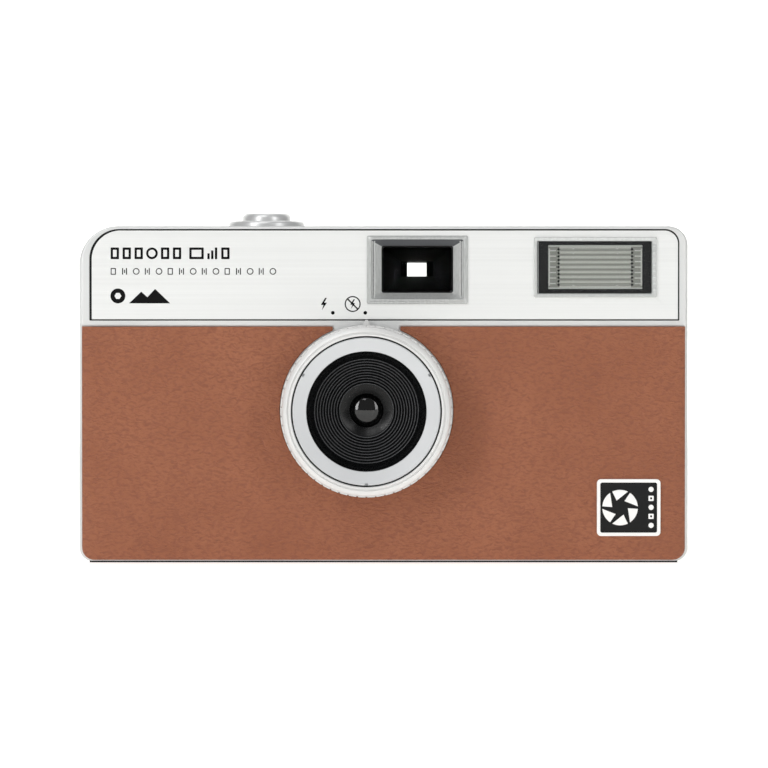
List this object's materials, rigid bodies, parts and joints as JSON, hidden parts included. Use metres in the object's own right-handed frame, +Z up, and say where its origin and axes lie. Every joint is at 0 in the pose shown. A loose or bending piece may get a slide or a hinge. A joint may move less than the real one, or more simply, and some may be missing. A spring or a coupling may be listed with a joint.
{
  "type": "half frame camera",
  "caption": "Compact half frame film camera with a fixed lens, a flash switched by turning the lens ring, a direct viewfinder, a hinged back and a folding rewind crank",
  "frame": {"origin": "centre of the footprint, on the surface that the camera stands on", "axes": "+X to the right as seen from the front, -Y where the lens looks, +Z up"},
  "size_m": [0.11, 0.039, 0.063],
  "materials": {
    "silver_body": "satin silver paint on moulded ABS",
    "label_metal": "fine horizontal brushing, clear anodised",
    "leatherette": "brown imitation leather with a fine wrinkled grain",
    "badge_metal": "polished raised border over a black field",
    "black_plastic": "black moulded plastic, matt",
    "bezel_plastic": "grey satin plastic",
    "lens_glass": "clear moulded acrylic, polished",
    "flash_clear": "clear moulded acrylic with fine ribs",
    "flash_metal": "bright rolled reflector",
    "tube_glass": "clear glass tube",
    "board": "green glass fibre laminate",
    "component_black": "dark sleeve and tape",
    "cell_jacket": "plain printed jacket over steel",
    "spring_steel": "bright spring steel and plated steel",
    "foam": "open cell foam",
    "lamp": "clear red lamp cap"
  },
  "bodies": {
    "camera_body": {"badge": "badge_metal", "battery": "cell_jacket", "battery_contact": "spring_steel", "battery_spring": "spring_steel", "button_collar": "silver_body", "button_spring": "spring_steel", "chassis": "black_plastic", "circuit_board": "board", "counter_screw": "spring_steel", "counter_window": "lens_glass", "cover_screws": "spring_steel", "door_hinge_pin": "spring_steel", "eyepiece_frame": "black_plastic", "flash_capacitor": "component_black", "flash_mask": "black_plastic", "flash_reflector": "flash_metal", "flash_transformer": "component_black", "flash_tube": "tube_glass", "flash_window": "flash_clear", "front_cover": "silver_body", "front_lens": "lens_glass", "iris_disc": "black_plastic", "label_plate": "label_metal", "leather_panel": "leatherette", "lens_barrel": "black_plastic", "lens_retainer": "black_plastic", "lens_trim": "silver_body", "light_seals": "foam", "ready_lamp": "lamp", "rear_cover": "silver_body", "rear_lens": "lens_glass", "shutter_pivot": "spring_steel", "shutter_plate": "spring_steel", "strap_cup": "black_plastic", "viewfinder_bezel": "bezel_plastic", "viewfinder_front_lens": "lens_glass", "viewfinder_rear_lens": "lens_glass", "viewfinder_tube": "black_plastic"},
    "flash_ring": {"flash_ring": "silver_body"},
    "shutter_blade": {"shutter_blade": "spring_steel"},
    "release": {"shutter_button": "silver_body", "button_stem": "black_plastic"},
    "battery_lid": {"battery_lid": "silver_body", "lid_contact": "spring_steel"},
    "advance": {"takeup_spool": "black_plastic", "advance_wheel": "black_plastic"},
    "sprocket": {"sprocket_wheel": "black_plastic"},
    "counter": {"counter_disc": "black_plastic"},
    "rewind_button": {"rewind_button": "black_plastic"},
    "rewind_slider": {"rewind_sleeve": "black_plastic"},
    "rewind": {"rewind_knob": "bezel_plastic", "rewind_fork": "black_plastic", "crank_pin": "spring_steel"},
    "crank": {"rewind_crank": "spring_steel", "crank_grip": "bezel_plastic"},
    "door": {"back_door": "silver_body", "door_leather": "leatherette", "pressure_spring": "spring_steel"},
    "pressure": {"pressure_plate": "spring_steel"},
    "latch": {"door_latch": "silver_body"}
  },
  "joints": [
    {"name": "ring_turn", "type": "hinge", "parent": "camera_body", "child": "flash_ring", "pos_m": [-0.00305, -0.015, 0.0274], "axis": [0, -1, 0], "range_deg": [0, 18.5]},
    {"name": "release_press", "type": "slide", "parent": "camera_body", "child": "release", "axis": [0, 0, -1], "range_m": [0, 0.0015], "stiffness_N_per_m": 400, "springref_m": -0.001, "deforming": ["button_spring"]},
    {"name": "shutter_swing", "type": "hinge", "parent": "camera_body", "child": "shutter_blade", "pos_m": [-0.01355, -0.0059, 0.0349], "axis": [0, -1, 0], "range_deg": [0, 30]},
    {"name": "lid_slide", "type": "slide", "parent": "camera_body", "child": "battery_lid", "axis": [1, 0, 0], "range_m": [0, 0.0142]},
    {"name": "advance_turn", "type": "hinge", "parent": "camera_body", "child": "advance", "pos_m": [-0.038, 0.0065, 0.03], "axis": [0, 0, 1], "continuous": true},
    {"name": "sprocket_turn", "type": "hinge", "parent": "camera_body", "child": "sprocket", "pos_m": [-0.0225, 0.0084, 0.03], "axis": [0, 0, 1], "continuous": true},
    {"name": "counter_turn", "type": "hinge", "parent": "camera_body", "child": "counter", "pos_m": [-0.038, 0.0065, 0.0578], "axis": [0, 0, 1], "continuous": true},
    {"name": "rewind_release", "type": "slide", "parent": "camera_body", "child": "rewind_button", "axis": [0, 0, 1], "range_m": [0, 0.001], "stiffness_N_per_m": 300, "springref_m": -0.001},
    {"name": "rewind_lift", "type": "slide", "parent": "camera_body", "child": "rewind_slider", "axis": [0, 0, 1], "range_m": [0, 0.005]},
    {"name": "rewind_turn", "type": "hinge", "parent": "rewind_slider", "child": "rewind", "pos_m": [0.039, 0.0044, 0.058], "axis": [0, 0, 1], "continuous": true},
    {"name": "crank_fold", "type": "hinge", "parent": "rewind", "child": "crank", "pos_m": [0.0408, 0.0044, 0.0594], "axis": [0, 1, 0], "range_deg": [0, 138]},
    {"name": "door_swing", "type": "hinge", "parent": "camera_body", "child": "door", "pos_m": [-0.0534, 0.0174, 0.025], "axis": [0, 0, 1], "range_deg": [0, 110]},
    {"name": "plate_press", "type": "slide", "parent": "door", "child": "pressure", "axis": [0, 1, 0], "range_m": [0, 0.0006], "stiffness_N_per_m": 300, "springref_m": -0.001},
    {"name": "latch_slide", "type": "slide", "parent": "camera_body", "child": "latch", "axis": [0, 0, 1], "range_m": [0, 0.003]}
  ],
  "couplings": [
    {"joint": "shutter_swing", "follows": "release_press", "rad_per_m": 349.06},
    {"joint": "counter_turn", "follows": "sprocket_turn", "ratio": -0.025}
  ]
}
